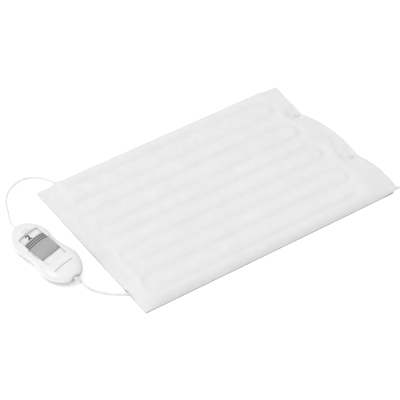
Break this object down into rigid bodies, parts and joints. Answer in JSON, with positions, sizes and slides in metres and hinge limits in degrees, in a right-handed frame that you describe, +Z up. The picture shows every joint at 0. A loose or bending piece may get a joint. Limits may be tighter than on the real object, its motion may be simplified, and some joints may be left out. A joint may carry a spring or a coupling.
{
  "type": "heating pad with controller",
  "caption": "Flat cloth-covered heating pad with stitched channels, a hand control with a sliding switch on its cord, and a coiled mains lead.",
  "frame": {"origin": "on the table, under the middle of the pad", "axes": "+X along the pad towards its buttoned end, +Y towards its back edge, where its cord goes in, +Z up"},
  "size_m": [0.5974, 0.4653, 0.0287],
  "materials": {
    "cloth": "brushed cotton",
    "felt": "needled felt",
    "wire": "silicone insulation",
    "white_plastic": "satin",
    "grey_plastic": "satin",
    "cord_jacket": "satin",
    "brass": "polished",
    "steel": "plated",
    "board": "laminate",
    "dark_plastic": "matte",
    "glass": "clear"
  },
  "bodies": {
    "pad": {"cover_top": "cloth", "cover_bottom": "cloth", "inner_pad_lower": "felt", "inner_pad_upper": "felt", "heating_wire": "wire", "lead_pad_a": "wire", "lead_pad_b": "wire", "lead_mains_a": "wire", "lead_mains_b": "wire", "housing_top": "white_plastic", "housing_bottom": "white_plastic", "plug_body": "white_plastic", "relief_pad_cord": "cord_jacket", "relief_mains": "cord_jacket", "pad_cord": "cord_jacket", "mains_cord_run": "cord_jacket", "mains_cord_coil": "cord_jacket", "mains_cord_tail": "cord_jacket", "plug_relief": "cord_jacket", "contact_1": "brass", "contact_2": "brass", "contact_3": "brass", "plug_pin_1": "brass", "plug_pin_2": "brass", "snap_1_stud": "steel", "snap_1_post": "steel", "snap_2_stud": "steel", "snap_2_post": "steel", "fuse_cap_1": "steel", "fuse_cap_2": "steel", "screw_1": "steel", "screw_2": "steel", "screw_3": "steel", "screw_4": "steel", "circuit_board": "board", "pad_terminal": "dark_plastic", "wire_end_splice": "dark_plastic", "diode": "dark_plastic", "safety_resistor": "dark_plastic", "coil_tie": "dark_plastic", "fuse_tube": "glass"},
    "lip": {"cover_flap": "cloth", "snap_1_cap": "grey_plastic", "snap_1_socket": "steel", "snap_2_cap": "grey_plastic", "snap_2_socket": "steel"},
    "slide": {"slide_knob": "grey_plastic", "slide_shutter": "white_plastic", "contact_wiper": "brass"}
  },
  "joints": [
    {"name": "switch_slide", "type": "slide", "parent": "pad", "child": "slide", "axis": [-0.1253, 0.9921, 0], "range_m": [-0.0139, 0.0139]},
    {"name": "mouth_lip", "type": "hinge", "parent": "pad", "child": "lip", "pos_m": [0.1784, 0, 0.006], "axis": [0, -1, 0], "range_deg": [0, 70]}
  ]
}
